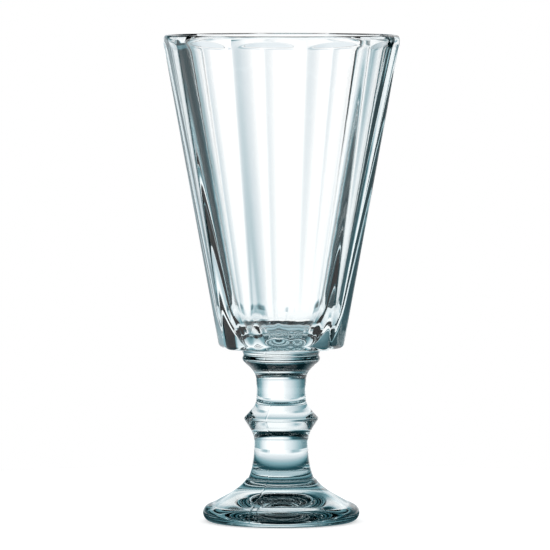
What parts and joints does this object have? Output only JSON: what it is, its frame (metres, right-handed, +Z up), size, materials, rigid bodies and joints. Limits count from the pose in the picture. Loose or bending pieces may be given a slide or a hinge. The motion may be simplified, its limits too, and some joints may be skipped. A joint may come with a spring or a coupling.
{
  "type": "stemmed shot glass",
  "caption": "Clear pressed-glass shot glass: a tall conical bowl with flat outer panels and a round lip, on a short knopped stem and a small domed foot.",
  "frame": {"origin": "centre of the flat ring under the foot, on the surface that the glass stands on", "axes": "+Z up along the axis of the glass, from the foot to the rim; a flat panel of the bowl faces -Y"},
  "size_m": [0.0536, 0.0536, 0.11],
  "materials": {
    "clear_glass": "fire-polished clear soda-lime glass, faintly blue-green where it is thick"
  },
  "bodies": {
    "root": {"bowl": "clear_glass", "stem": "clear_glass", "foot": "clear_glass"}
  },
  "joints": []
}
